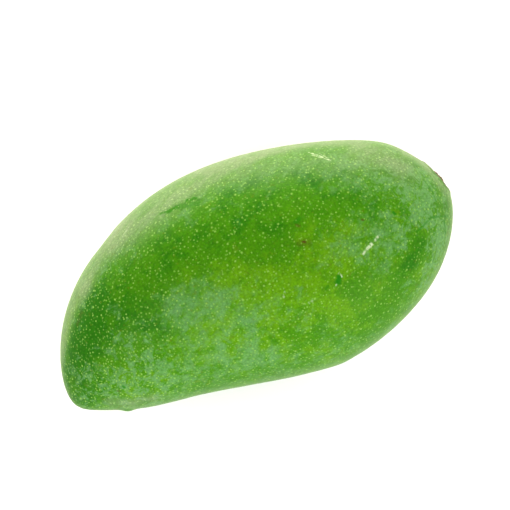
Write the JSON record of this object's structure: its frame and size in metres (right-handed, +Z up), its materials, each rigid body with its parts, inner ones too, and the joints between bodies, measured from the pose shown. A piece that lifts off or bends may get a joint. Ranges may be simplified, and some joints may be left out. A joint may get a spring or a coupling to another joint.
{
  "type": "mango",
  "caption": "Whole unripe green mango lying on one cheek, an elongated egg shape with a small beak near the tip and a snapped woody stalk stub in a corky scar.",
  "frame": {"origin": "bottom centre of the bounding box, on the surface that the fruit rests on", "axes": "+X along the fruit towards the stalk end, -Y towards the belly edge with the beak, +Z up through the upper cheek"},
  "size_m": [0.1496, 0.0818, 0.0689],
  "materials": {
    "skin": "satin",
    "stalk_wood": "matte"
  },
  "bodies": {
    "root": {"fruit": "skin", "stalk_stub": "stalk_wood"}
  },
  "joints": []
}
